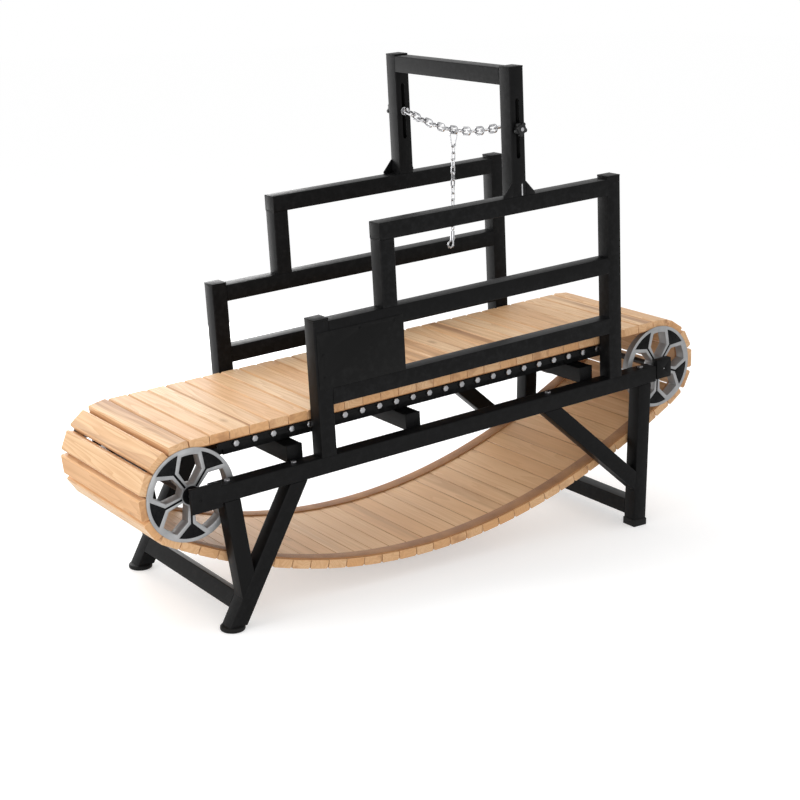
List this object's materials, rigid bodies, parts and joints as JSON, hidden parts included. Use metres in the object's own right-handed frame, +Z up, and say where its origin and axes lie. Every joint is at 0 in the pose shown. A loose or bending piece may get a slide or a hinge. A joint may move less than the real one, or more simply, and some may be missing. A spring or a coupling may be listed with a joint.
{
  "type": "dog treadmill",
  "caption": "Unpowered dog treadmill: a sagging loop of wooden slats on spoked wheels in a black tube frame with guard rails and a chain tether portal.",
  "frame": {"origin": "on the floor under the middle of the bounding box", "axes": "+X towards the raised front end, +Y to the far side, +Z up"},
  "size_m": [2.1101, 0.6978, 1.5752],
  "materials": {
    "frame_black": "satin powder coat",
    "panel_black": "satin sheet",
    "cap_black": "matte",
    "foot_rubber": "matte",
    "bolt_zinc": "zinc plated",
    "bush_steel": "oiled",
    "roller_dark": "matte",
    "slat_wood": "planed, oiled",
    "carrier_brown": "woven belt",
    "axle_black": "black oxide",
    "wheel_silver": "cast, satin",
    "inlay_black": "matte",
    "chain_chrome": "bright",
    "knob_black": "satin"
  },
  "bodies": {
    "frame": {"main_beams": "frame_black", "front_axle_blocks": "frame_black", "rear_legs": "frame_black", "rear_struts": "frame_black", "rear_leg_crossbar": "frame_black", "front_legs": "frame_black", "front_braces": "frame_black", "front_leg_crossbar": "frame_black", "deck_cross_tubes": "frame_black", "cross_tube_end_plates": "frame_black", "deck_stringers": "frame_black", "inner_roller_bars": "frame_black", "outer_roller_bars": "frame_black", "rear_guard_posts": "frame_black", "mid_guard_posts": "frame_black", "front_guard_posts": "frame_black", "top_guard_rails": "frame_black", "mid_guard_rails": "frame_black", "lower_guard_rails": "frame_black", "portal_posts": "frame_black", "portal_crossbar": "frame_black", "portal_gussets": "frame_black", "panel_rivets": "frame_black", "side_panel": "panel_black", "beam_end_caps": "cap_black", "guard_caps": "cap_black", "portal_caps": "cap_black", "rear_feet": "foot_rubber", "front_feet": "foot_rubber", "take_up_tongues": "bolt_zinc", "leg_bolts": "bolt_zinc", "plate_bolts": "bolt_zinc", "roller_bolts": "bolt_zinc", "roller_nuts": "bolt_zinc", "axle_bushes": "bush_steel", "rollers": "roller_dark", "top_slats": "slat_wood", "front_slats": "slat_wood", "bottom_slats": "slat_wood", "rear_slats": "slat_wood", "carrier_belts": "carrier_brown"},
    "rear_wheelset": {"rear_axle": "axle_black", "rear_wheels": "wheel_silver", "rear_wheel_inlays": "inlay_black", "rear_hub_covers": "inlay_black"},
    "front_wheelset": {"front_axle": "axle_black", "front_wheels": "wheel_silver", "front_wheel_inlays": "inlay_black", "front_hub_covers": "inlay_black"},
    "tether_carriage": {"eye_bolts": "chain_chrome", "slot_washers": "chain_chrome", "cross_chain": "chain_chrome"},
    "near_knob": {"near_knob": "knob_black"},
    "far_knob": {"far_knob": "knob_black"},
    "snap": {"snap_link": "chain_chrome"},
    "gate": {"snap_gate": "chain_chrome"},
    "tether": {"tether_chain": "chain_chrome", "swivel_eye": "chain_chrome"},
    "bolt_snap": {"snap_hook": "chain_chrome"},
    "trigger": {"snap_trigger": "chain_chrome"}
  },
  "joints": [
    {"name": "rear_wheel_spin", "type": "hinge", "parent": "frame", "child": "rear_wheelset", "pos_m": [-0.89333, 0, 0.42436], "axis": [0, 1, 0], "continuous": true},
    {"name": "front_wheel_spin", "type": "hinge", "parent": "frame", "child": "front_wheelset", "pos_m": [0.89333, 0, 0.53364], "axis": [0, 1, 0], "continuous": true},
    {"name": "carriage_height", "type": "slide", "parent": "frame", "child": "tether_carriage", "axis": [-0.061, 0, 0.9981], "range_m": [-0.08, 0.08]},
    {"name": "near_knob_turn", "type": "hinge", "parent": "tether_carriage", "child": "near_knob", "pos_m": [0.21793, -0.338, 1.38764], "axis": [0, 1, 0], "continuous": true},
    {"name": "far_knob_turn", "type": "hinge", "parent": "tether_carriage", "child": "far_knob", "pos_m": [0.21793, 0.338, 1.38764], "axis": [0, 1, 0], "continuous": true},
    {"name": "snap_swing", "type": "hinge", "parent": "tether_carriage", "child": "snap", "pos_m": [0.21793, 0, 1.34214], "axis": [0, 1, 0], "range_deg": [-60, 60]},
    {"name": "gate_open", "type": "hinge", "parent": "snap", "child": "gate", "pos_m": [0.22443, 0, 1.30704], "axis": [0, -1, 0], "range_deg": [0, 18], "stiffness_Nm_per_rad": 0.02},
    {"name": "tether_swing", "type": "hinge", "parent": "snap", "child": "tether", "pos_m": [0.21793, 0, 1.29804], "axis": [1, 0, 0], "range_deg": [-40, 40]},
    {"name": "bolt_snap_swivel", "type": "hinge", "parent": "tether", "child": "bolt_snap", "pos_m": [0.21793, 0, 1.03934], "axis": [0, 0, 1], "continuous": true},
    {"name": "trigger_pull", "type": "slide", "parent": "bolt_snap", "child": "trigger", "axis": [0, 0, 1], "range_m": [0, 0.009], "stiffness_N_per_m": 300}
  ],
  "couplings": [
    {"joint": "front_wheel_spin", "follows": "rear_wheel_spin", "ratio": 1}
  ]
}
